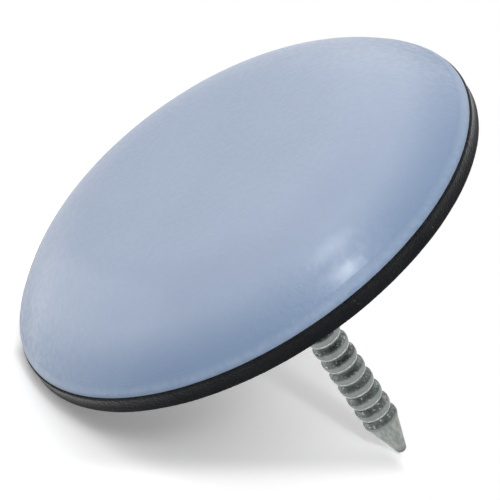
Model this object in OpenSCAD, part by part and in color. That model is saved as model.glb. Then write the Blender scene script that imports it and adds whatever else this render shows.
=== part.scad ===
// Nail-on furniture slider.
// A domed low-friction cap carries a cushion pad on its flat back, and a ring-shank nail
// stands out of the middle of the pad. The nail's wide head is moulded into the cap.
// The part stands as in use: sliding face down on Z = 0, nail pointing up into the leg.

/* [Slide cap] */
// Diameter of the cap at its rim
cap_d = 30; // [24:0.5:50]
// Height of the cap from its sliding face to its flat back
cap_h = 3.6; // [3:0.1:6]
// Diameter of the flat middle of the sliding face
sole_d = 16; // [10:0.2:18]
// Height of the straight edge between the dome and the flat back
rim_land = 0.2; // [0.1:0.05:0.6]
// Thickness of plastic between the sliding face and the nail's head
wear_t = 1.3; // [0.8:0.1:1.6]

/* [Cushion pad] */
// Thickness of the rubber pad
pad_t = 1; // [0.5:0.1:3]
// How far the pad's edge stands out past the rim of the cap
pad_overhang = 0.1; // [0:0.05:0.5]
// Thickness of the adhesive film between the cap and the pad
film_t = 0.06; // [0.04:0.01:0.3]
// How far the film's edge stays back from the rim of the cap
film_inset = 0.3; // [0.1:0.1:2]
// Gap around the nail's rings in the hole punched through pad and film
punch_gap = 0.12; // [0.05:0.01:0.5]

/* [Nail] */
// Length of the nail from the back of its head to the end of its point
nail_len = 23; // [14:0.5:40]
// Diameter over the rings
ring_d = 2.3; // [2.1:0.05:3]
// Diameter at the bottom of the grooves between the rings
groove_d = 1.9; // [1.4:0.05:2.1]
// Diameter of the plain shank between the head and the rings
shank_d = 1.95; // [1.6:0.05:2.2]
// Distance from one ring to the next
ring_pitch = 1.08; // [0.8:0.02:2]
// Least length of plain shank between the pad and the first ring
plain_min = 1.2; // [0.5:0.1:5]
// Length of the point
point_len = 2.9; // [2:0.1:5]
// Radius of the blunt end of the point
point_round = 0.38; // [0.15:0.01:0.6]
// Diameter of the flat head inside the cap
head_d = 9; // [5:0.5:14]
// Thickness of the head
head_t = 0.9; // [0.6:0.1:1.2]
// Gap that shrinkage leaves between the cap and the edge of the head
shrink_gap = 0.02; // [0.01:0.01:0.1]

/* [Hidden] */
$fn = 96;

cap_r = cap_d / 2;
sole_r = sole_d / 2;
// The dome's arc starts level at the edge of the flat sole and ends at the foot of the rim land
dome_run = cap_r - sole_r;
dome_rise = cap_h - rim_land;
dome_r = (dome_run * dome_run + dome_rise * dome_rise) / (2 * dome_rise);

film_z = cap_h;
pad_z = film_z + film_t;
leg_z = pad_z + pad_t;

ring_r = ring_d / 2;
groove_r = groove_d / 2;
shank_r = shank_d / 2;
head_r = head_d / 2;
hole_r = ring_r + punch_gap;
head_z = wear_t;
neck_z = head_z + head_t;
// How far a cut runs past the face that it opens
cut_overrun = 0.5;

// One ring, from its groove on the head side to the end of its crest: shares of the pitch and the depth
ring_rise_shares = [[0.08, 0], [0.3, 1], [0.6, 1]];
// And from the end of its crest down to the next groove
ring_fall_shares = [[0.84, 0.55], [1, 0]];
crest_end_share = ring_rise_shares[len(ring_rise_shares) - 1][0];
// The point begins at the end of the last ring's crest, and the rings run down from there
tip_z = head_z + nail_len;
point_z = tip_z - point_len;
ring_count = floor((point_z - leg_z - plain_min) / ring_pitch - crest_end_share) + 1;
rings_z = point_z - (ring_count - 1 + crest_end_share) * ring_pitch;
// The foot of the point is a little slimmer than the rings: share of the ring's radius
point_base_share = 0.95;
point_base_r = ring_r * point_base_share;

// The point's cone runs tangent into the blunt round end
round_z = tip_z - point_round;
point_axis_angle = atan2(point_base_r, round_z - point_z);
point_reach = norm([point_base_r, round_z - point_z]);
point_angle = point_axis_angle - asin(point_round / point_reach);
point_tangent = [point_round * cos(point_angle), round_z + point_round * sin(point_angle)];

// Half section of the dome: a flat sole and a tangent arc, cut off straight at the rim
module cap_section() {
    intersection() {
        square([cap_r, cap_h]);
        union() {
            square([sole_r, cap_h]);
            translate([sole_r, dome_r]) circle(dome_r);
        }
    }
}

// Half section of the space that the nail's head and neck take up in the cap
module head_pocket_section() {
    translate([0, head_z]) square([head_r + shrink_gap, head_t]);
    translate([0, head_z]) square([shank_r + shrink_gap, cap_h - head_z + cut_overrun]);
}

module slide_cap() {
    color([0.62, 0.67, 0.76])
    rotate_extrude()
    difference() {
        cap_section();
        head_pocket_section();
    }
}

// Outline points of all rings, from the first above the plain shank to the crest that the point starts from
function ring_points() = [
    for (i = [0 : ring_count - 1], s = concat(ring_rise_shares, i < ring_count - 1 ? ring_fall_shares : []))
        [groove_r + s[1] * (ring_r - groove_r), rings_z + (i + s[0]) * ring_pitch]
];

module ring_nail() {
    color([0.58, 0.61, 0.6])
    rotate_extrude() {
        polygon(concat(
            [[0, head_z], [head_r, head_z], [head_r, neck_z], [shank_r, neck_z], [shank_r, rings_z]],
            ring_points(),
            [[point_base_r, point_z], point_tangent, [0, point_tangent[1]]]
        ));
        intersection() {
            translate([0, round_z]) circle(point_round);
            translate([0, round_z]) square(point_round);
        }
    }
}

// A punched disc with the hole that clears the nail's rings
module punched_disc(outer_r, z, t) {
    translate([0, 0, z])
    rotate_extrude()
    translate([hole_r, 0]) square([outer_r - hole_r, t]);
}

module pad_bond() {
    color([0.85, 0.82, 0.7])
    punched_disc(cap_r - film_inset, film_z, film_t);
}

module cushion_pad() {
    color([0.1, 0.1, 0.11])
    punched_disc(cap_r + pad_overhang, pad_z, pad_t);
}

slide_cap();
ring_nail();
pad_bond();
cushion_pad();
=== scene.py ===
"""Dress a nail-on furniture slider: domed cap, cushion pad, ring-shank nail and adhesive bond."""

import logging
import math
import random
from collections.abc import Callable, Iterable, Mapping, Sequence
from dataclasses import dataclass, field, replace
from enum import Enum
from functools import cached_property

import bpy
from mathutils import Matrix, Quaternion, Vector


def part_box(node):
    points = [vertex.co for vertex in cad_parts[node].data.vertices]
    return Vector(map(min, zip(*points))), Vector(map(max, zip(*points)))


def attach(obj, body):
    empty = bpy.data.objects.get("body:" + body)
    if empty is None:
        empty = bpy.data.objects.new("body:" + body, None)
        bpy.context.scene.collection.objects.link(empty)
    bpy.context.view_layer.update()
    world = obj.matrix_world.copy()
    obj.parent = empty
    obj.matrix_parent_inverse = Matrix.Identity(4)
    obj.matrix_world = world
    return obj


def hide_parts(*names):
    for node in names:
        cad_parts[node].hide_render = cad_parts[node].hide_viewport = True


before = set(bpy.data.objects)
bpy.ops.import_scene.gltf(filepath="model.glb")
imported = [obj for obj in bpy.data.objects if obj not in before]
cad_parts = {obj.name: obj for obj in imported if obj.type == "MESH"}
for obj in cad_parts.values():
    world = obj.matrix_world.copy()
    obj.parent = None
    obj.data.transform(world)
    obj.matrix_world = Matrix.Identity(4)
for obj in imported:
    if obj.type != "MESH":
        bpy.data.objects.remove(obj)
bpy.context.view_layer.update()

MM = 0.001
BODY = "root"
log = logging.getLogger("furniture_slider")

Colour = tuple[float, float, float, float]
Triple = tuple[float, float, float]
Span = tuple[float, float]
Socket = bpy.types.NodeSocket
Inputs = Mapping[str | int, object]
WHITE: Colour = (1.0, 1.0, 1.0, 1.0)


class End(Enum):
    """The end of a drawn half section that the drawing goes on from."""

    LOW = "low"
    HIGH = "high"


@dataclass(frozen=True)
class Corner:
    """A corner of a half section, in millimetres, with the radius that rounds it."""

    r: float
    z: float
    round: float = 0.0

    @property
    def place(self) -> Vector:
        """The corner as a point in the plane of the section."""
        return Vector((self.r, 0.0, self.z))


def rounded(corners: Sequence[Corner], steps: int = 5) -> list[Vector]:
    """Round the corners of a half section.

    Args:
        corners: The corners in drawing order; the first and the last stay sharp.
        steps: Stretches in each rounded corner.

    Returns:
        The points of the rounded section, in millimetres.
    """
    points = [corners[0].place]
    for before, corner, after in zip(corners, corners[1:], corners[2:]):
        if corner.round == 0.0:
            points.append(corner.place)
            continue
        back = (before.place - corner.place).normalized()
        ahead = (after.place - corner.place).normalized()
        half = back.angle(ahead) / 2
        middle = corner.place + (back + ahead).normalized() * corner.round / math.sin(half)
        start = corner.place + back * corner.round / math.tan(half) - middle
        end = corner.place + ahead * corner.round / math.tan(half) - middle
        points += [middle + start.slerp(end, i / steps) * corner.round for i in range(steps + 1)]
    points.append(corners[-1].place)
    return points


def stretch(start: Corner, end: Corner, steps: int) -> list[Corner]:
    """Corners that cut the straight from start to end into equal steps, without its ends."""
    return [
        Corner(start.r + (end.r - start.r) * i / steps, start.z + (end.z - start.z) * i / steps)
        for i in range(1, steps)
    ]


class Lathe:
    """Draws a half section vertex by vertex and turns it round the nail's axis."""

    MERGE = 0.001 * MM
    SEED_SIZE = 1.0 * MM
    SMOOTH_ANGLE = math.radians(40)

    def __init__(self, name: str, start: Vector) -> None:
        """Start a drawing as one vertex.

        Args:
            name: The name of the piece.
            start: The first point of its section, in millimetres.
        """
        bpy.ops.object.select_all(action="DESELECT")
        bpy.ops.mesh.primitive_plane_add(size=self.SEED_SIZE)
        self.piece = bpy.context.object
        self.piece.name = name
        self.piece.data.name = name
        bpy.ops.object.mode_set(mode="EDIT")
        bpy.ops.mesh.select_all(action="SELECT")
        bpy.ops.mesh.merge(type="CENTER")
        bpy.ops.transform.translate(value=start * MM)
        self.pen = start

    def draw(self, points: Iterable[Vector]) -> None:
        """Extrude the drawing's end through points, in millimetres."""
        for point in points:
            step = (point - self.pen) * MM
            if step.length > self.MERGE:
                bpy.ops.mesh.extrude_vertices_move(TRANSFORM_OT_translate={"value": step})
                self.pen = point

    def repeat(self, count: int, pitch: float) -> None:
        """Repeat what is drawn upwards, end on end, count times at a pitch in millimetres."""
        bpy.ops.object.mode_set(mode="OBJECT")
        row = self.piece.modifiers.new("row", "ARRAY")
        row.count = count
        row.use_relative_offset = False
        row.use_constant_offset = True
        row.constant_offset_displace = (0.0, 0.0, pitch * MM)
        row.use_merge_vertices = True
        row.merge_threshold = self.MERGE
        bpy.ops.object.modifier_apply(modifier=row.name)
        bpy.ops.object.mode_set(mode="EDIT")

    def go_to(self, end: End) -> None:
        """Take up the drawing at its lowest or its highest vertex."""
        bpy.ops.mesh.select_all(action="DESELECT")
        bpy.ops.object.mode_set(mode="OBJECT")
        choose = max if end is End.HIGH else min
        vertex = choose(self.piece.data.vertices, key=lambda v: v.co.z)
        vertex.select = True
        self.pen = vertex.co / MM
        bpy.ops.object.mode_set(mode="EDIT")

    def turn(self, segments: int) -> bpy.types.Object:
        """Spin the section into a closed round piece.

        Args:
            segments: Faces round the piece.

        Returns:
            The piece, at the origin, smooth but for its sharp edges.
        """
        bpy.ops.mesh.select_all(action="SELECT")
        bpy.ops.mesh.spin(steps=segments, angle=math.tau, center=(0, 0, 0), axis=(0, 0, 1))
        bpy.ops.mesh.select_all(action="SELECT")
        bpy.ops.mesh.remove_doubles(threshold=self.MERGE)
        bpy.ops.mesh.normals_make_consistent(inside=False)
        bpy.ops.object.mode_set(mode="OBJECT")
        bpy.ops.object.shade_smooth_by_angle(angle=self.SMOOTH_ANGLE)
        return self.piece

    @classmethod
    def turned(cls, name: str, corners: Sequence[Corner], segments: int) -> bpy.types.Object:
        """Draw a half section with its corners rounded, and turn it into a piece."""
        points = rounded(corners)
        lathe = cls(name, points[0])
        lathe.draw(points[1:])
        return lathe.turn(segments)


def roughen(piece: bpy.types.Object, label: str, size: float, depth: float, group: str) -> None:
    """Lift and sink a piece's surface by soft noise.

    Args:
        piece: The piece, which is the active object.
        label: What the unevenness is, in a word.
        size: Width of its lumps in millimetres.
        depth: Depth from the lowest to the highest, in millimetres.
        group: The vertex group that takes it.
    """
    lumps = bpy.data.textures.new(f"{piece.name}_{label}", "CLOUDS")
    lumps.noise_scale = size * MM
    lumps.noise_depth = 2
    lift = piece.modifiers.new(label, "DISPLACE")
    lift.texture = lumps
    lift.texture_coords = "LOCAL"
    lift.strength = depth * MM
    lift.mid_level = 0.5
    lift.vertex_group = group
    bpy.ops.object.modifier_apply(modifier=lift.name)


def group_where(piece: bpy.types.Object, name: str, test: Callable[[Vector], bool]) -> None:
    """Make a vertex group of the vertices whose place, in millimetres, passes a test."""
    chosen = [v.index for v in piece.data.vertices if test(v.co / MM)]
    piece.vertex_groups.new(name=name).add(chosen, 1.0, "REPLACE")


def radius_of(point: Vector) -> float:
    """Distance of a point from the nail's axis."""
    return math.hypot(point.x, point.y)


class Graph:
    """Places and links the nodes of one shader tree."""

    def __init__(self, tree: bpy.types.NodeTree) -> None:
        """Work on a tree."""
        self.tree = tree

    def add(self, kind: str, inputs: Inputs | None = None, **settings: object) -> bpy.types.Node:
        """Add a node.

        Args:
            kind: The node's type.
            inputs: What goes into it, by the input's name or number.
            settings: The node's own options.

        Returns:
            The new node.
        """
        node = self.tree.nodes.new(kind)
        for option, value in settings.items():
            setattr(node, option, value)
        self.feed(node, inputs or {})
        return node

    def feed(self, node: bpy.types.Node, inputs: Inputs) -> None:
        """Link sockets into a node's inputs, and set its other inputs to plain values."""
        for key, value in inputs.items():
            if isinstance(value, bpy.types.NodeSocket):
                self.tree.links.new(value, node.inputs[key])
            else:
                node.inputs[key].default_value = value

    def math(self, how: str, *values: Socket | float) -> Socket:
        """A sum, product or other step on values."""
        return self.add("ShaderNodeMath", dict(enumerate(values)), operation=how).outputs[0]

    def total(self, terms: Iterable[tuple[Socket, float]], base: float = 0.0) -> Socket | float:
        """Add masks, each times its weight, to a base value."""
        total: Socket | float = base
        for mask, weight in terms:
            total = self.math("MULTIPLY_ADD", mask, weight, total)
        return total

    def scaled(self, point: Socket, factors: Socket | Triple) -> Socket:
        """A point with each of its coordinates multiplied."""
        return self.add("ShaderNodeVectorMath", {0: point, 1: factors}, operation="MULTIPLY").outputs[0]

    def blend(self, share: Socket, first: Socket | Colour, second: Socket | Colour) -> Socket:
        """Mix two colours, the second one by share."""
        inputs = {0: share, 6: first, 7: second}
        return self.add("ShaderNodeMix", inputs, data_type="RGBA").outputs[2]

    def tint(self, mask: Socket, share: float, tone: Socket | Colour, colour: Colour) -> Socket:
        """Mix a share of a colour into a tone where a mask is."""
        return self.blend(self.math("MULTIPLY", mask, share), tone, colour)

    def ramp(
        self, value: Socket, low: Socket | float, high: Socket | float, start: float = 0.0, end: float = 1.0
    ) -> Socket:
        """Map a value from low to high smoothly onto start to end."""
        inputs = {"Value": value, "From Min": low, "From Max": high, "To Min": start, "To Max": end}
        return self.add("ShaderNodeMapRange", inputs, interpolation_type="SMOOTHSTEP").outputs[0]

    def bump(self, height: Socket | float, strength: float, depth: float) -> Socket:
        """The normals of a surface with a height, for a depth in millimetres."""
        inputs = {"Strength": strength, "Distance": depth * MM, "Height": height}
        return self.add("ShaderNodeBump", inputs).outputs[0]

    def effect(self, group: bpy.types.NodeTree, inputs: Inputs | None = None) -> bpy.types.NodeOutputs:
        """Place a shared effect with its own values, for its outputs."""
        return self.add("ShaderNodeGroup", inputs, node_tree=group).outputs

    def mask(self, group: bpy.types.NodeTree, point: Socket, **values: float) -> Socket:
        """Place a shared effect that turns points into a mask."""
        return self.effect(group, {"Point": point, **values})["Mask"]


class Effects:
    """The surface effects that several finishes share, each built once as a node group."""

    MASK = {"Mask": "NodeSocketFloat"}
    SCRATCH_EDGE = 0.08
    DOT_CORE = 0.5

    @staticmethod
    def _group(
        name: str, inputs: Mapping[str, float | None], outputs: Mapping[str, str]
    ) -> tuple[Graph, bpy.types.NodeOutputs, bpy.types.Node]:
        """Start a node group.

        Args:
            name: The group's name.
            inputs: Its inputs with their usual values; None makes a vector.
            outputs: Its outputs with their socket types.

        Returns:
            A Graph on its tree, the sockets of its inputs and its output node.
        """
        tree = bpy.data.node_groups.new(name, "ShaderNodeTree")
        for label, usual in inputs.items():
            kind = "NodeSocketVector" if usual is None else "NodeSocketFloat"
            socket = tree.interface.new_socket(name=label, in_out="INPUT", socket_type=kind)
            if usual is not None:
                socket.default_value = usual
        for label, kind in outputs.items():
            tree.interface.new_socket(name=label, in_out="OUTPUT", socket_type=kind)
        graph = Graph(tree)
        return graph, graph.add("NodeGroupInput").outputs, graph.add("NodeGroupOutput")

    @cached_property
    def place(self) -> bpy.types.NodeTree:
        """Where a point is on the part: its place, its radius and its height, in millimetres."""
        outputs = {"Point": "NodeSocketVector", "Radius": "NodeSocketFloat", "Height": "NodeSocketFloat"}
        graph, _, out = self._group("place on part", {}, outputs)
        raw = graph.add("ShaderNodeTexCoord").outputs["Object"]
        point = graph.add("ShaderNodeVectorMath", {0: raw, "Scale": 1 / MM}, operation="SCALE").outputs[0]
        x, y, z = graph.add("ShaderNodeSeparateXYZ", {0: point}).outputs
        flat = graph.add("ShaderNodeCombineXYZ", {0: x, 1: y}).outputs[0]
        radius = graph.add("ShaderNodeVectorMath", {0: flat}, operation="LENGTH").outputs["Value"]
        graph.feed(out, {"Point": point, "Radius": radius, "Height": z})
        return graph.tree

    @cached_property
    def clouds(self) -> bpy.types.NodeTree:
        """Soft patches of a size in millimetres."""
        usual = {"Point": None, "Size": 1.0, "Low": 0.35, "High": 0.65}
        graph, given, out = self._group("clouds", usual, self.MASK)
        scale = graph.math("DIVIDE", 1.0, given["Size"])
        inputs = {"Vector": given["Point"], "Scale": scale, "Detail": 3.0, "Roughness": 0.55}
        noise = graph.add("ShaderNodeTexNoise", inputs).outputs[0]
        graph.feed(out, {"Mask": graph.ramp(noise, given["Low"], given["High"])})
        return graph.tree

    @cached_property
    def scratches(self) -> bpy.types.NodeTree:
        """Fine straight scuffs across the part, of a length and width in millimetres."""
        usual = {"Point": None, "Angle": 0.0, "Length": 6.0, "Width": 0.06, "Level": 0.66}
        graph, given, out = self._group("scratches", usual, self.MASK)
        inputs = {"Vector": given["Point"], "Angle": given["Angle"]}
        turned = graph.add("ShaderNodeVectorRotate", inputs, rotation_type="Z_AXIS").outputs[0]
        along = graph.math("DIVIDE", 1.0, given["Length"])
        across = graph.math("DIVIDE", 1.0, given["Width"])
        drawn = graph.scaled(turned, graph.add("ShaderNodeCombineXYZ", {0: along, 1: across}).outputs[0])
        noise = graph.add("ShaderNodeTexNoise", {"Vector": drawn, "Scale": 1.0, "Detail": 1.0}).outputs[0]
        top = graph.math("ADD", given["Level"], self.SCRATCH_EDGE)
        graph.feed(out, {"Mask": graph.ramp(noise, given["Level"], top)})
        return graph.tree

    @cached_property
    def specks(self) -> bpy.types.NodeTree:
        """Scattered dots at a spacing in millimetres, each a share of the spacing wide."""
        usual = {"Point": None, "Spacing": 0.5, "Share": 0.2, "Chance": 0.3}
        graph, given, out = self._group("specks", usual, self.MASK)
        scale = graph.math("DIVIDE", 1.0, given["Spacing"])
        cells = graph.add("ShaderNodeTexVoronoi", {"Vector": given["Point"], "Scale": scale}).outputs
        core = graph.math("MULTIPLY", given["Share"], self.DOT_CORE)
        dot = graph.ramp(cells["Distance"], given["Share"], core)
        draw = graph.add("ShaderNodeSeparateColor", {0: cells["Color"]}).outputs[0]
        kept = graph.math("LESS_THAN", draw, given["Chance"])
        graph.feed(out, {"Mask": graph.math("MULTIPLY", dot, kept)})
        return graph.tree


@dataclass(frozen=True)
class Finish:
    """A surface finish; each kind builds its own material."""

    name: str

    def start(self) -> tuple[bpy.types.Material, Graph, bpy.types.Node]:
        """A new material with its Graph and its Principled shader."""
        material = bpy.data.materials.new(self.name)
        material.use_nodes = True
        graph = Graph(material.node_tree)
        return material, graph, material.node_tree.nodes["Principled BSDF"]

    def dress(self, piece: bpy.types.Object, effects: Effects) -> None:
        """Give a piece this finish on every face."""
        piece.data.materials.clear()
        piece.data.materials.append(self.material(effects))

    def material(self, effects: Effects) -> bpy.types.Material:
        """Build the material."""
        raise NotImplementedError


@dataclass(frozen=True)
class CapFinish(Finish):
    """Satin grey-blue filled plastic; sizes in millimetres.

    It is hazy in random patches and has fine scuffs and dust motes. Its shoulder is painted darker and
    bluer towards the rim, as shade where the dome turns down, and its lip is painted lighter in patches, as
    a reflection of the bright floor.
    """

    name: str = "satin_cap_plastic"
    pale: Colour = (0.303, 0.369, 0.497, 1.0)
    body: Colour = (0.287, 0.353, 0.481, 1.0)
    # Painted shade: the shoulder turns darker and bluer towards the rim.
    shoulder_shade: Colour = (0.175, 0.252, 0.39, 1.0)
    # Painted reflection of the bright floor: the lip is lighter than the shaded shoulder.
    wear_and_lip_light: Colour = (0.23, 0.31, 0.44, 1.0)
    scuffed: Colour = (0.46, 0.52, 0.62, 1.0)
    shoulder: Span = (11.9, 14.8)
    lip: Span = (2.9, 3.3)
    lip_light_patches: Span = (0.6, 1.0)
    roughness: float = 0.34
    haze_size: float = 6.0
    haze_roughness: float = 0.06
    ripple_size: float = 0.4
    ripple_roughness: float = 0.16
    ripple_lift: float = 5.0
    grain_size: float = 0.12
    grain_lift: float = 1.2
    scuff_patch: float = 4.0
    scuff_roughness: float = 0.16
    scuff_share: float = 0.08
    mote_spacing: float = 1.6
    mote_share: float = 0.15
    relief: float = 0.5
    relief_depth: float = 0.004

    def scuffs(self, graph: Graph, effects: Effects, point: Socket) -> Socket:
        """A mask of two sets of fine scuffs, in patches."""
        patch = graph.mask(effects.clouds, point, Size=self.scuff_patch, Low=0.5, High=0.7)
        long = graph.mask(effects.scratches, point, Angle=0.5, Length=5.0, Width=0.07)
        short = graph.mask(effects.scratches, point, Angle=2.2, Length=3.0, Width=0.05)
        return graph.math("MULTIPLY", graph.math("MAXIMUM", long, short), patch)

    def material(self, effects: Effects) -> bpy.types.Material:
        """Build the cap's material."""
        material, graph, shader = self.start()
        place = graph.effect(effects.place)
        point = place["Point"]
        haze = graph.mask(effects.clouds, point, Size=self.haze_size)
        grain = graph.mask(effects.clouds, point, Size=self.grain_size)
        ripple = graph.mask(effects.clouds, point, Size=self.ripple_size)
        scuffs = self.scuffs(graph, effects, point)
        motes = graph.mask(effects.specks, point, Spacing=self.mote_spacing, Share=0.06, Chance=0.25)

        lip = graph.ramp(place["Height"], *self.lip)
        lip = graph.math("MULTIPLY", lip, graph.ramp(ripple, 0.0, 1.0, *self.lip_light_patches))
        tone = graph.blend(haze, self.body, self.pale)
        # Painted shade on the shoulder, darker towards the rim.
        tone = graph.blend(graph.ramp(place["Radius"], *self.shoulder), tone, self.shoulder_shade)
        # Painted reflection of the floor on the lip, stronger in patches.
        tone = graph.blend(lip, tone, self.wear_and_lip_light)
        tone = graph.tint(scuffs, self.scuff_share, tone, self.scuffed)
        tone = graph.tint(motes, self.mote_share, tone, self.scuffed)
        dulling = (
            (haze, self.haze_roughness),
            (scuffs, self.scuff_roughness),
            (ripple, self.ripple_roughness),
        )
        lifts = ((grain, self.grain_lift), (scuffs, -self.grain_lift), (ripple, self.ripple_lift))
        inputs = {
            "Base Color": tone,
            "Roughness": graph.total(dulling, self.roughness),
            "Normal": graph.bump(graph.total(lifts), self.relief, self.relief_depth),
            "IOR": 1.4,
            "Coat Weight": 0.3,
            "Coat Roughness": 0.2,
        }
        graph.feed(shader, inputs)
        return material


@dataclass(frozen=True)
class RubberFinish(Finish):
    """Matte black cellular rubber; sizes in millimetres.

    It has open cells on its die-cut edge, fuzz on that edge beside the cap, and dust on its faces.
    """

    name: str = "cellular_pad_rubber"
    black: Colour = (0.0045, 0.0052, 0.0068, 1.0)
    # Random patches of wear on the rubber.
    wear_and_lip_light: Colour = (0.016, 0.0165, 0.0165, 1.0)
    dust: Colour = (0.13, 0.12, 0.105, 1.0)
    cut_edge: Span = (14.85, 14.95)
    patch_size: float = 1.8
    fine_size: float = 0.09
    fine_lift: float = 0.3
    wear: Span = (0.4, 1.0)
    roughness: Span = (0.58, 0.8)
    fuzz_edge: Span = (4.4, 3.75)
    fuzz: float = 0.4
    fuzz_all_over: float = 0.07
    cells_per_mm: float = 6.0
    face_cells: float = 0.35
    small_cells_per_mm: float = 14.0
    small_lift: float = 0.4
    dust_spacing: float = 0.7
    dust_share: float = 0.5
    relief: float = 0.7
    relief_depth: float = 0.03

    def material(self, effects: Effects) -> bpy.types.Material:
        """Build the pad's material."""
        material, graph, shader = self.start()
        place = graph.effect(effects.place)
        point = place["Point"]
        patches = graph.mask(effects.clouds, point, Size=self.patch_size)
        fine = graph.mask(effects.clouds, point, Size=self.fine_size)
        cells, small = (
            graph.add("ShaderNodeTexVoronoi", {"Vector": point, "Scale": scale}).outputs["Distance"]
            for scale in (self.cells_per_mm, self.small_cells_per_mm)
        )
        dust = graph.mask(effects.specks, point, Spacing=self.dust_spacing, Share=0.09, Chance=0.35)

        cut = graph.ramp(place["Radius"], *self.cut_edge)
        wear_and_lip_light = graph.math("MULTIPLY", patches, graph.ramp(fine, *self.wear))
        tone = graph.blend(wear_and_lip_light, self.black, self.wear_and_lip_light)
        tone = graph.tint(dust, self.dust_share, tone, self.dust)
        fuzz = graph.math("MULTIPLY", cut, graph.ramp(place["Height"], *self.fuzz_edge))
        open_cells = graph.math("MULTIPLY", cells, graph.math("ADD", cut, self.face_cells))
        lifts = ((open_cells, 1.0), (small, self.small_lift), (fine, self.fine_lift))
        inputs = {
            "Base Color": tone,
            "Roughness": graph.ramp(fine, 0.0, 1.0, *self.roughness),
            "Normal": graph.bump(graph.total(lifts), self.relief, self.relief_depth),
            "Specular IOR Level": 0.1,
            "Sheen Weight": graph.total([(fuzz, self.fuzz)], self.fuzz_all_over),
            "Sheen Roughness": 0.35,
        }
        graph.feed(shader, inputs)
        return material


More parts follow.
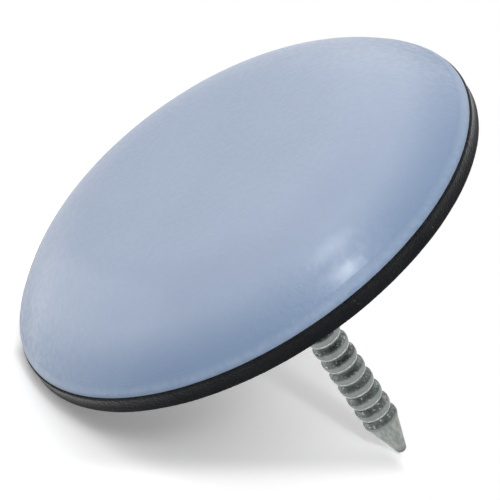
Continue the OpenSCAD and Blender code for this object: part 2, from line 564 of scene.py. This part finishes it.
@dataclass(frozen=True)
class ZincFinish(Finish):
    """Mottled galvanised steel; sizes in millimetres.

    Each ring is painted dark on its crest, which faces the black pad, as that pad's shade and reflection,
    darkest near the pad and blotched like the zinc; it is grey on its fall and has a painted highlight at
    its end. Where the crest and the highlight begin and end is given in shares of the pitch.
    """

    name: str = "galvanised_nail_steel"
    # Painted shade and reflection of the black pad, for the crests facing it.
    crest_shade: Colour = (0.018, 0.025, 0.023, 1.0)
    dark: Colour = (0.075, 0.09, 0.085, 1.0)
    zinc: Colour = (0.25, 0.275, 0.263, 1.0)
    pale: Colour = (0.35, 0.375, 0.358, 1.0)
    # Painted highlight: the bright band at each ring's end and the glints of the flecks.
    bright: Colour = (0.7, 0.72, 0.71, 1.0)
    # Darker and bluer tone for the end of the point.
    point_end_tone: Colour = (0.14, 0.155, 0.185, 1.0)
    rings_from: float = 6.7
    rings_to: float = 21.4
    tip: float = 24.3
    pitch: float = 1.08
    crest: Span = (0.46, 0.3)
    crest_fade: Span = (9.0, 21.0)
    faded_crest: float = 0.75
    # Where the painted highlight at each ring's end lies, in shares of the pitch.
    line_on: Span = (0.72, 0.79)
    line_off: Span = (0.95, 0.9)
    line_mottle: Span = (0.0, 0.8)
    highlight_patches: Span = (0.45, 1.0)
    line_polish: float = 0.1
    foot_edge: float = 0.02
    blue_end: Span = (0.75, 0.2)
    blue_share: float = 0.8
    mottle_grain: Triple = (4.5, 4.5, 2.2)
    streak_grain: Triple = (5.0, 5.0, 0.5)
    patch_size: float = 0.8
    patch_share: float = 0.5
    soil_share: float = 0.18
    blotch_share: float = 0.8
    bare_share: float = 0.3
    fleck_size: float = 0.19
    fleck_share: Span = (0.15, 0.55)
    fleck_lift: float = 0.6
    roughness: Span = (0.48, 0.36)
    relief: float = 0.6
    relief_depth: float = 0.012

    def rings(self, graph: Graph, height: Socket) -> tuple[Socket, Socket]:
        """Masks of the rings' crests, which take painted shade, and of the painted highlights at their
        ends.

        Args:
            graph: The material's nodes.
            height: Height on the part.

        Returns:
            The mask of the crests and the mask of the highlights.
        """
        turns = graph.math("DIVIDE", graph.math("SUBTRACT", height, self.rings_from), self.pitch)
        share = graph.math("FRACT", turns)
        above = graph.math("GREATER_THAN", height, self.rings_from)
        ringed = graph.math("MULTIPLY", above, graph.math("LESS_THAN", height, self.rings_to))
        crest = graph.math("MULTIPLY", graph.ramp(share, *self.crest), ringed)
        # The painted shade on the crests fades towards the point, darkest near the pad.
        crest = graph.math("MULTIPLY", crest, graph.ramp(height, *self.crest_fade, 1.0, self.faded_crest))
        highlight_line = graph.math("MULTIPLY", graph.ramp(share, *self.line_on), graph.ramp(share, *self.line_off))
        return crest, graph.math("MULTIPLY", highlight_line, ringed)

    def material(self, effects: Effects) -> bpy.types.Material:
        """Build the nail's material."""
        material, graph, shader = self.start()
        place = graph.effect(effects.place)
        point, height = place["Point"], place["Height"]
        mottle = graph.mask(effects.clouds, graph.scaled(point, self.mottle_grain))
        streaks = graph.mask(effects.clouds, graph.scaled(point, self.streak_grain))
        patches = graph.mask(effects.clouds, point, Size=self.patch_size)
        flecks = graph.mask(effects.clouds, point, Size=self.fleck_size, Low=0.57, High=0.72)
        crest, highlight_line = self.rings(graph, height)
        on_point = graph.ramp(height, self.rings_to - self.foot_edge, self.rings_to + self.foot_edge)
        end = graph.ramp(height, *(self.tip - below for below in self.blue_end))

        plain = graph.tint(patches, self.patch_share, self.zinc, self.pale)
        plain = graph.tint(mottle, self.soil_share, plain, self.dark)
        # Painted shade on the crests facing the pad, mottled like the zinc.
        blotch = graph.tint(mottle, self.blotch_share, self.crest_shade, self.dark)
        blotch = graph.tint(patches, self.bare_share, blotch, self.zinc)
        tone = graph.blend(crest, plain, blotch)
        cone = graph.blend(streaks, self.pale, self.zinc)
        # Darker and bluer towards the end of the point.
        cone = graph.tint(end, self.blue_share, cone, self.point_end_tone)
        tone = graph.blend(on_point, tone, cone)
        # Painted glints on the flecks, mostly on the crests.
        sparkle = graph.math("MULTIPLY", flecks, graph.ramp(crest, 0.0, 1.0, *self.fleck_share))
        tone = graph.blend(sparkle, tone, self.bright)
        # Painted highlight at each ring's end, weaker in patches of the mottle.
        highlight_line = graph.math("MULTIPLY", highlight_line, graph.ramp(mottle, *self.line_mottle, *self.highlight_patches))
        tone = graph.blend(highlight_line, tone, self.bright)
        polish = graph.math("MULTIPLY", highlight_line, self.line_polish)
        lifts = ((mottle, 1.0), (flecks, self.fleck_lift))
        inputs = {
            "Base Color": tone,
            "Metallic": 1.0,
            "Roughness": graph.math("SUBTRACT", graph.ramp(mottle, 0.0, 1.0, *self.roughness), polish),
            "Normal": graph.bump(graph.total(lifts), self.relief, self.relief_depth),
        }
        graph.feed(shader, inputs)
        return material


@dataclass(frozen=True)
class FilmFinish(Finish):
    """Thin cream adhesive with small bubbles; sizes in millimetres."""

    name: str = "adhesive_film"
    cream: Colour = (0.62, 0.57, 0.44, 1.0)
    thick: Colour = (0.72, 0.68, 0.55, 1.0)
    patch_size: float = 1.2
    bubble_spacing: float = 0.5
    roughness: Span = (0.3, 0.45)
    relief: float = 0.5
    relief_depth: float = 0.01

    def material(self, effects: Effects) -> bpy.types.Material:
        """Build the film's material."""
        material, graph, shader = self.start()
        point = graph.effect(effects.place)["Point"]
        patches = graph.mask(effects.clouds, point, Size=self.patch_size)
        bubbles = graph.mask(effects.specks, point, Spacing=self.bubble_spacing, Share=0.25, Chance=0.3)
        inputs = {
            "Base Color": graph.blend(patches, self.cream, self.thick),
            "Roughness": graph.ramp(patches, 0.0, 1.0, *self.roughness),
            "Normal": graph.bump(bubbles, self.relief, self.relief_depth),
        }
        graph.feed(shader, inputs)
        return material


def node_radius(node: str) -> float:
    """Outer radius of a round CAD node, in millimetres."""
    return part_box(node)[1].x / MM


def node_span(node: str) -> Span:
    """Lowest and highest height of a CAD node, in millimetres."""
    low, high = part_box(node)
    return low.z / MM, high.z / MM


@dataclass
class SlideCap:
    """The domed cap that slides on the floor, moulded round the nail's head; sizes in millimetres."""

    sole_d: float = 16.0
    rim_land: float = 0.2
    brim_h: float = 0.62
    brim_step: float = 0.022
    shoulder_round: float = 0.35
    back_round: float = 0.05
    wear_t: float = 1.3
    head_d: float = 9.0
    head_t: float = 0.9
    neck_d: float = 1.95
    shrink_gap: float = 0.02
    pocket_side: float = 0.2
    pocket_floor: float = 0.1
    sole_rings: int = 10
    dome_steps: int = 40
    segments: int = 288
    sink_size: float = 5.0
    sink_depth: float = 0.012
    finish: CapFinish = field(default_factory=CapFinish)

    def dome(self) -> list[Corner]:
        """The arc from the edge of the flat sole to the foot of the rim land."""
        rim, height = node_radius("slide_cap"), node_span("slide_cap")[1]
        run, rise = rim - self.sole_d / 2, height - self.rim_land
        radius = (run**2 + rise**2) / (2 * rise)
        full = math.asin(run / radius)
        turns = [full * i / self.dome_steps for i in range(self.dome_steps + 1)]
        return [
            Corner(self.sole_d / 2 + radius * math.sin(turn), radius * (1 - math.cos(turn)))
            for turn in turns
        ]

    def corners(self) -> list[Corner]:
        """The half section, from the middle of the sole round the back into the head's pocket."""
        rim, height = node_radius("slide_cap"), node_span("slide_cap")[1]
        centre, sole_edge = Corner(0.0, 0.0), Corner(self.sole_d / 2, 0.0)
        dome = [corner for corner in self.dome() if corner.z < height - self.brim_h]
        crease = dome[-1]
        neck = self.neck_d / 2 + self.shrink_gap
        pocket = self.head_d / 2 + self.shrink_gap
        seat = self.wear_t + self.head_t
        return [
            centre,
            *stretch(centre, sole_edge, self.sole_rings),
            *dome,
            Corner(crease.r + self.brim_step, crease.z, self.brim_step / 3),
            Corner(rim, height - self.rim_land, self.shoulder_round),
            Corner(rim, height, self.back_round),
            Corner(neck, height),
            Corner(neck, seat),
            Corner(pocket, seat),
            Corner(pocket, self.wear_t),
            Corner(0.0, self.wear_t),
        ]

    def shows(self, point: Vector, brim_z: float) -> bool:
        """Whether a point lies on the sole or the dome, below the brim and away from the head's pocket."""
        beside_pocket = radius_of(point) > self.head_d / 2 + self.pocket_side
        below_pocket = point.z < self.wear_t - self.pocket_floor
        return (beside_pocket or below_pocket) and point.z < brim_z

    def build(self, effects: Effects) -> bpy.types.Object:
        """Model and dress the cap.

        Args:
            effects: The shared surface effects.

        Returns:
            The cap.
        """
        piece = Lathe.turned("domed_cap", self.corners(), self.segments)
        brim_z = node_span("slide_cap")[1] - self.brim_h
        group_where(piece, "outside", lambda p: self.shows(p, brim_z))
        roughen(piece, "sink_marks", self.sink_size, self.sink_depth, "outside")
        self.finish.dress(piece, effects)
        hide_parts("slide_cap")
        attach(piece, BODY)
        return piece


@dataclass
class CushionPad:
    """The punched disc of cellular rubber on the cap's back; sizes in millimetres."""

    hole_d: float = 2.54
    rolled_edge: float = 0.12
    back_edge: float = 0.05
    dish: float = 0.03
    back_rings: int = 3
    face_rings: int = 36
    wall_steps: int = 8
    segments: int = 420
    cell_size: float = 0.3
    cell_depth: float = 0.015
    sag_from: float = 0.5
    sag_size: float = 4.0
    sag_depth: float = 0.03
    nicks: int = 26
    nick_widths: Span = (0.004, 0.02)
    nick_height: float = 0.3
    nick_share: float = 0.9988
    seed: int = 7
    finish: RubberFinish = field(default_factory=RubberFinish)

    def corners(self) -> list[Corner]:
        """The closed half section, from the hole's lower edge outwards, up and back."""
        rim = node_radius("cushion_pad")
        low, high = node_span("cushion_pad")
        hole = self.hole_d / 2
        bottom_in, bottom_out = Corner(hole, low), Corner(rim, low, self.back_edge)
        top_out, top_in = Corner(rim, high, self.rolled_edge), Corner(hole, high, self.rolled_edge)
        wall = [
            Corner(c.r - self.dish * math.sin(math.pi * (c.z - low) / (high - low)), c.z)
            for c in stretch(bottom_out, top_out, self.wall_steps)
        ]
        return [
            bottom_in,
            *stretch(bottom_in, bottom_out, self.back_rings),
            bottom_out,
            *wall,
            top_out,
            *stretch(top_out, top_in, self.face_rings),
            top_in,
            bottom_in,
        ]

    def nick_edges(self, piece: bpy.types.Object) -> None:
        """Pull in a few places of the cut edge beside the cap, as a blunt die leaves them."""
        rim = node_radius("cushion_pad")
        low = node_span("cushion_pad")[0]
        draw = random.Random(self.seed)
        turns = [draw.uniform(0, math.tau) for _ in range(self.nicks)]
        widths = [draw.uniform(*self.nick_widths) for _ in range(self.nicks)]
        for turn, width in zip(turns, widths):
            bpy.ops.object.mode_set(mode="OBJECT")
            for part in (piece.data.vertices, piece.data.edges, piece.data.polygons):
                part.foreach_set("select", [False] * len(part))
            for vertex in piece.data.vertices:
                point = vertex.co / MM
                gap = (math.atan2(point.y, point.x) - turn) % math.tau
                near = min(gap, math.tau - gap) < width
                on_edge = radius_of(point) > rim - self.rolled_edge and point.z < low + self.nick_height
                vertex.select = near and on_edge
            bpy.ops.object.mode_set(mode="EDIT")
            bpy.ops.transform.resize(
                value=(self.nick_share, self.nick_share, 1.0), center_override=(0.0, 0.0, 0.0)
            )
        bpy.ops.object.mode_set(mode="OBJECT")

    def build(self, effects: Effects) -> bpy.types.Object:
        """Model and dress the pad.

        Args:
            effects: The shared surface effects.

        Returns:
            The pad.
        """
        piece = Lathe.turned("rubber_pad", self.corners(), self.segments)
        self.nick_edges(piece)
        edge_r = node_radius("cushion_pad") - self.rolled_edge
        low = node_span("cushion_pad")[0]
        group_where(piece, "cut_edge", lambda p: radius_of(p) > edge_r and p.z > low + self.back_edge)
        group_where(piece, "leg_face", lambda p: p.z > low + self.sag_from)
        roughen(piece, "cells", self.cell_size, self.cell_depth, "cut_edge")
        roughen(piece, "sag", self.sag_size, self.sag_depth, "leg_face")
        self.finish.dress(piece, effects)
        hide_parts("cushion_pad")
        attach(piece, BODY)
        return piece


@dataclass
class RingNail:
    """The ring-shank nail with its flat head inside the cap; sizes in millimetres.

    A ring's flanks are given as shares of its pitch and of its depth, with the radius that rounds each
    corner.
    """

    ring_d: float = 2.3
    groove_d: float = 1.9
    shank_d: float = 1.95
    ring_pitch: float = 1.08
    ring_count: int = 14
    point_len: float = 2.9
    point_round: float = 0.38
    point_base_share: float = 0.95
    head_t: float = 0.9
    head_round: float = 0.12
    rise: tuple[Triple, ...] = ((0.08, 0.0, 0.05), (0.3, 1.0, 0.13), (0.6, 1.0, 0.3))
    fall: tuple[Triple, ...] = ((0.84, 0.55, 0.12),)
    last_round: float = 0.05
    round_steps: int = 6
    shank_steps: int = 12
    cone_steps: int = 16
    tip_steps: int = 10
    segments: int = 128
    zinc_size: float = 0.3
    zinc_depth: float = 0.022
    finish: ZincFinish = field(default_factory=ZincFinish)

    @property
    def tip_z(self) -> float:
        """Height of the end of the point."""
        return node_span("ring_nail")[1]

    @property
    def point_z(self) -> float:
        """Height where the last ring ends and the point begins."""
        return self.tip_z - self.point_len

    @property
    def rings_z(self) -> float:
        """Height where the rings begin."""
        return self.point_z - (self.ring_count - 1 + self.rise[-1][0]) * self.ring_pitch

    def flank(self, shares: Iterable[Triple], start: float) -> list[Corner]:
        """Corners of a ring that starts at a height, from their shares."""
        low, depth = self.groove_d / 2, (self.ring_d - self.groove_d) / 2
        return [
            Corner(low + depth * out, start + self.ring_pitch * along, bend)
            for along, out, bend in shares
        ]

    def ring(self) -> list[Corner]:
        """One ring, from the groove below it to the groove above: a steep lower flank, a long upper one."""
        low, start = self.groove_d / 2, self.rings_z
        flanks = self.flank(self.rise + self.fall, start)
        return [Corner(low, start), *flanks, Corner(low, start + self.ring_pitch)]

    def last_ring(self) -> list[Corner]:
        """The last ring, from the groove below it to the foot of the point."""
        start = self.rings_z + (self.ring_count - 1) * self.ring_pitch
        crest = Corner(self.ring_d / 2, self.point_z, self.last_round)
        return [
            Corner(self.groove_d / 2, start),
            *self.flank(self.rise[:-1], start),
            crest,
            Corner(crest.r * self.point_base_share, self.point_z),
        ]

    def shank_and_head(self) -> list[Corner]:
        """From the lowest groove down the plain shank and round the head to the axis."""
        head_z, head_r, shank_r = node_span("ring_nail")[0], node_radius("ring_nail"), self.shank_d / 2
        start, seat = Corner(shank_r, self.rings_z), Corner(shank_r, head_z + self.head_t)
        return [
            start,
            *stretch(start, seat, self.shank_steps),
            seat,
            Corner(head_r, seat.z, self.head_round),
            Corner(head_r, head_z, self.head_round),
            Corner(0.0, head_z),
        ]

    def point(self) -> list[Vector]:
        """From the foot of the point along its cone, tangent into its blunt round end."""
        foot_r, foot_z = self.ring_d / 2 * self.point_base_share, self.point_z
        ball_z = self.tip_z - self.point_round
        reach = math.hypot(foot_r, ball_z - foot_z)
        lean = math.atan2(foot_r, ball_z - foot_z) - math.asin(self.point_round / reach)
        turns = [lean + (math.pi / 2 - lean) * i / self.tip_steps for i in range(self.tip_steps + 1)]
        ball = [
            Vector((self.point_round * math.cos(turn), 0.0, ball_z + self.point_round * math.sin(turn)))
            for turn in turns
        ]
        foot = Corner(foot_r, foot_z)
        cone = stretch(foot, Corner(ball[0].x, ball[0].z), self.cone_steps)
        return [*(corner.place for corner in cone), *ball]

    def build(self, effects: Effects) -> bpy.types.Object:
        """Model and dress the nail.

        Args:
            effects: The shared surface effects.

        Returns:
            The nail.
        """
        ring = rounded(self.ring(), self.round_steps)
        lathe = Lathe("ring_shank_nail", ring[0])
        lathe.draw(ring[1:])
        lathe.repeat(self.ring_count - 1, self.ring_pitch)
        lathe.go_to(End.HIGH)
        lathe.draw(rounded(self.last_ring(), self.round_steps))
        lathe.draw(self.point())
        lathe.go_to(End.LOW)
        lathe.draw(rounded(self.shank_and_head()))
        piece = lathe.turn(self.segments)
        leg_z = node_span("cushion_pad")[1]
        group_where(piece, "outside", lambda p: p.z > leg_z)
        roughen(piece, "zinc_lumps", self.zinc_size, self.zinc_depth, "outside")
        rings = {"rings_from": self.rings_z, "rings_to": self.point_z, "pitch": self.ring_pitch}
        replace(self.finish, tip=self.tip_z, **rings).dress(piece, effects)
        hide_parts("ring_nail")
        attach(piece, BODY)
        return piece


@dataclass
class PadBond:
    """The adhesive film between cap and pad, which keeps its CAD shape."""

    finish: FilmFinish = field(default_factory=FilmFinish)

    def build(self, effects: Effects) -> bpy.types.Object:
        """Dress the film's CAD node."""
        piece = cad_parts["pad_bond"]
        self.finish.dress(piece, effects)
        return piece


@dataclass
class PhotoCamera:
    """The camera at the photograph's viewing angle; angles in degrees, lengths in millimetres."""

    azimuth: float = 249.12
    elevation: float = -29.52
    roll: float = 145.42
    aim: Triple = (-2.75, 0.24, 4.68)
    distance: float = 138.2
    lens: float = 172.8
    clip_share: float = 0.1

    @cached_property
    def back(self) -> Vector:
        """The direction from the part to the camera."""
        azimuth, elevation = math.radians(self.azimuth), math.radians(self.elevation)
        level = math.cos(elevation)
        return Vector((math.sin(azimuth) * level, -math.cos(azimuth) * level, math.sin(elevation)))

    @cached_property
    def turn(self) -> Quaternion:
        """The camera's turn, roll included."""
        upright = (-self.back).to_track_quat("-Z", "Y")
        return upright @ Quaternion((0, 0, 1), math.radians(self.roll))

    def towards(self, right: float, up: float, back: float) -> Vector:
        """A direction in the photograph's own terms, in the row frame."""
        return (self.turn @ Vector((right, up, back))).normalized()

    def place(self) -> None:
        """Put the camera into the scene and use it."""
        data = bpy.data.cameras.new("photo_camera")
        data.lens = self.lens
        data.clip_start = self.clip_share * self.distance * MM
        camera = bpy.data.objects.new("photo_camera", data)
        camera.rotation_mode = "QUATERNION"
        camera.rotation_quaternion = self.turn
        camera.location = (Vector(self.aim) + self.back * self.distance) * MM
        bpy.context.scene.collection.objects.link(camera)
        bpy.context.scene.camera = camera


@dataclass
class Floor:
    """A white floor that shows from its front only and lights nothing; sizes in millimetres."""

    name: str
    white: float = 1.0
    glow: float = 0.2

    def material(self) -> bpy.types.Material:
        """White that keeps the object's shadow, and nothing at all from behind."""
        material = bpy.data.materials.new(self.name)
        material.use_nodes = True
        tree = material.node_tree
        tree.nodes.clear()
        graph = Graph(tree)
        matte = graph.add("ShaderNodeBsdfDiffuse", {"Color": (self.white, self.white, self.white, 1.0)})
        light = graph.add("ShaderNodeEmission", {"Strength": self.shine(graph)})
        front = graph.add("ShaderNodeAddShader", {0: matte.outputs[0], 1: light.outputs[0]})
        behind = graph.add("ShaderNodeBsdfTransparent")
        facing = graph.add("ShaderNodeNewGeometry").outputs["Backfacing"]
        shown = graph.add("ShaderNodeMixShader", {0: facing, 1: front.outputs[0], 2: behind.outputs[0]})
        graph.add("ShaderNodeOutputMaterial", {"Surface": shown.outputs[0]})
        return material

    def shine(self, graph: Graph) -> Socket | float:
        """How strongly the floor itself glows."""
        return self.glow

    def sheet(self, along: float, across: float) -> bpy.types.Object:
        """A level rectangle at the origin, seen only by camera rays."""
        bpy.ops.object.select_all(action="DESELECT")
        bpy.ops.mesh.primitive_plane_add(size=MM)
        floor = bpy.context.object
        floor.name = self.name
        bpy.ops.object.mode_set(mode="EDIT")
        bpy.ops.mesh.select_all(action="SELECT")
        bpy.ops.transform.resize(value=(along, across, 1.0))
        bpy.ops.object.mode_set(mode="OBJECT")
        floor.data.materials.append(self.material())
        floor.visible_diffuse = floor.visible_glossy = False
        floor.visible_transmission = floor.visible_shadow = False
        return floor


@dataclass
class StandingFloor(Floor):
    """The level floor that the slider stands on in use, which shows from above."""

    name: str = "standing_floor"
    white: float = 0.8
    glow: float = 0.1
    size: float = 1200.0
    gap: float = 0.03

    def lay(self) -> None:
        """Lay the floor just below the sliding face."""
        floor = self.sheet(self.size, self.size)
        floor.location.z = -self.gap * MM


@dataclass
class LyingFloor(Floor):
    """The floor that the slider lies on in the photograph, on the pad's edge and the nail's point.

    It slopes up past the standing slider, so it is laid as a stair of level slats that face down. They
    close up as seen from the photograph's camera, below, and don't show at all from above.
    """

    name: str = "lying_floor"
    azimuth: float = 252.0
    length: float = 170.0
    step: float = 0.2
    slat_share: float = 1.3
    lowest: float = 0.2
    highest: float = 24.5
    fade: float = 1.2
    fade_glow: float = 0.25
    near_slant: float = 0.5
    near: Span = (-12.7, -15.8)
    far_slant: float = 0.9
    far: Span = (-2.8, -0.6)
    gap: float = 0.1

    def plane(self, nail: RingNail) -> tuple[Vector, Vector]:
        """The plane that touches the pad's edge and the nail's blunt point.

        Args:
            nail: The nail, for its point.

        Returns:
            The plane's upward normal and the point where the nail touches it, in millimetres.
        """
        outward = self.outward()
        ball = nail.tip_z - nail.point_round
        edge_r, drop = node_radius("cushion_pad"), node_span("cushion_pad")[1] - ball
        lean = math.atan2(drop, edge_r) + math.acos(nail.point_round / math.hypot(edge_r, drop))
        normal = -(outward * math.cos(lean) + Vector((0.0, 0.0, math.sin(lean))))
        return normal, Vector((0.0, 0.0, ball)) - normal * nail.point_round

    def outward(self) -> Vector:
        """The level direction in which the pad's edge touches the floor."""
        turn = math.radians(self.azimuth)
        return Vector((math.cos(turn), math.sin(turn), 0.0))

    def shine(self, graph: Graph) -> Socket | float:
        """The glow, which grows towards the floor's ends and sides, so that it fades into white."""
        raw = graph.add("ShaderNodeTexCoord").outputs["Object"]
        height = graph.add("ShaderNodeSeparateXYZ", {0: raw}).outputs[2]
        edges = (
            (height, self.highest - self.fade, self.highest),
            (height, self.lowest + self.fade, self.lowest),
            (self.depth(graph, raw, self.near_slant), *self.near),
            (self.depth(graph, raw, self.far_slant), *self.far),
        )
        shine: Socket | float = self.glow
        for where, start, end in edges:
            rise = graph.ramp(where, start * MM, end * MM, self.glow, self.glow + self.fade_glow)
            shine = graph.math("MAXIMUM", shine, rise)
        return shine

    def depth(self, graph: Graph, raw: Socket, slant: float) -> Socket:
        """How far a point lies away from the viewer, less a share of its height."""
        inputs = {0: raw, 1: (-self.outward().y, self.outward().x, -slant)}
        return graph.add("ShaderNodeVectorMath", inputs, operation="DOT_PRODUCT").outputs["Value"]

    def lay(self, nail: RingNail) -> None:
        """Lay the slats along the plane, and shade them as the plane."""
        normal, touch = self.plane(nail)
        outward, up = self.outward(), Vector((0.0, 0.0, 1.0))
        slope = up - outward * (normal.z / normal.dot(outward))
        first = touch - normal * self.gap + slope * (self.lowest - touch.z)
        floor = self.sheet(self.step * self.slat_share, self.length)
        floor.rotation_euler = (0.0, math.pi, math.radians(self.azimuth))
        floor.location = first * MM
        bpy.ops.object.transform_apply()
        stair = floor.modifiers.new("stair", "ARRAY")
        stair.count = int((self.highest - self.lowest) / self.step)
        stair.use_relative_offset = False
        stair.use_constant_offset = True
        stair.constant_offset_displace = slope * self.step * MM
        bpy.ops.object.modifier_apply(modifier=stair.name)
        bpy.ops.object.shade_smooth()
        floor.data.normals_split_custom_set_from_vertices([normal] * len(floor.data.vertices))


class Sees(Enum):
    """The kind of reflection that a lamp shows in."""

    MATTE = "matte"
    GLOSS = "gloss"


@dataclass
class SoftLamp:
    """A round studio lamp that shines on the part; lengths in millimetres.

    Its level is how bright a white matte surface turns in it, or how bright the lamp looks in a mirror.
    """

    name: str
    source: Vector
    radius: float
    level: float
    sees: Sees = Sees.MATTE
    aim: Vector = field(default_factory=lambda: Vector((0.0, 0.0, 6.0)))
    distance: float = 300.0

    def power(self) -> float:
        """The lamp's power in watts."""
        if self.sees is Sees.MATTE:
            return self.level * (math.pi * self.distance * MM) ** 2
        return self.level * (math.pi * self.radius * MM) ** 2

    def hang(self) -> None:
        """Put the lamp into the scene."""
        data = bpy.data.lights.new(self.name, "AREA")
        data.shape = "DISK"
        data.size = 2 * self.radius * MM
        data.energy = self.power()
        lamp = bpy.data.objects.new(self.name, data)
        lamp.rotation_mode = "QUATERNION"
        lamp.rotation_quaternion = self.source.to_track_quat("Z", "Y")
        lamp.location = (self.aim + self.source * self.distance) * MM
        lamp.visible_camera = False
        lamp.visible_diffuse = self.sees is Sees.MATTE
        lamp.visible_glossy = self.sees is Sees.GLOSS
        bpy.context.scene.collection.objects.link(lamp)


@dataclass
class Studio:
    """White surroundings, soft lamps round the part and an overhead light for the standing floor."""

    around: float = 0.45
    overhead: float = 0.68
    overhead_spread: float = 70.0

    def surround(self) -> None:
        """Set the world: plain white to the eye and in gloss, and an even light on matte surfaces."""
        world = bpy.data.worlds.new("studio")
        world.use_nodes = True
        bpy.context.scene.world = world
        world.node_tree.nodes.clear()
        graph = Graph(world.node_tree)
        light = graph.add("ShaderNodeBackground", {"Color": WHITE, "Strength": self.around})
        white = graph.add("ShaderNodeBackground", {"Color": WHITE, "Strength": 1.0})
        ray = graph.add("ShaderNodeLightPath").outputs
        seen = graph.math("MAXIMUM", ray["Is Camera Ray"], ray["Is Glossy Ray"])
        seen = graph.math("MAXIMUM", seen, ray["Is Transmission Ray"])
        both = graph.add("ShaderNodeMixShader", {0: seen, 1: light.outputs[0], 2: white.outputs[0]})
        graph.add("ShaderNodeOutputWorld", {"Surface": both.outputs[0]})

    def hang_overhead(self) -> None:
        """Light the standing floor softly from straight above."""
        data = bpy.data.lights.new("overhead", "SUN")
        data.energy = self.overhead * math.pi
        data.angle = math.radians(self.overhead_spread)
        lamp = bpy.data.objects.new("overhead", data)
        lamp.visible_glossy = False
        bpy.context.scene.collection.objects.link(lamp)

    def light(self, camera: PhotoCamera) -> None:
        """Set the world and hang the lamps by the photograph's own right, up and back."""
        self.surround()
        self.hang_overhead()
        gloss = Sees.GLOSS
        lamps = (
            SoftLamp("key", camera.towards(0.05, 0.45, 0.89), radius=110.0, level=0.5),
            SoftLamp("spot", camera.towards(0.3, 0.25, 0.92), radius=24.0, level=0.15),
            SoftLamp("backlight", camera.towards(-0.1, 0.85, -0.5), radius=150.0, level=0.3),
            SoftLamp("fill", camera.towards(-0.97, 0.05, -0.2), radius=120.0, level=0.16, distance=340.0),
            SoftLamp("softbox", camera.towards(0.1, 0.98, -0.15), radius=260.0, level=0.8, sees=gloss),
            SoftLamp("side", camera.towards(-0.93, 0.15, -0.3), radius=190.0, level=1.15, sees=gloss),
            SoftLamp("window", camera.towards(-0.2, 0.74, 0.63), radius=34.0, level=11.0, sees=gloss),
            SoftLamp("glint", camera.towards(-0.02, 0.55, 0.835), radius=26.0, level=34.0, sees=gloss),
        )
        for lamp in lamps:
            lamp.hang()


def main() -> None:
    """Build the camera, the pieces and the studio."""
    logging.basicConfig(level=logging.INFO, format="%(name)s: %(message)s")
    bpy.context.scene.view_settings.view_transform = "Standard"
    camera = PhotoCamera()
    camera.place()
    effects = Effects()
    nail = RingNail()
    for part in (SlideCap(), PadBond(), CushionPad(), nail):
        piece = part.build(effects)
        log.info("%s: %d faces, from %s", piece.name, len(piece.data.polygons), type(part).__name__)
    StandingFloor().lay()
    LyingFloor().lay(nail)
    Studio().light(camera)


if __name__ == "__main__":
    main()
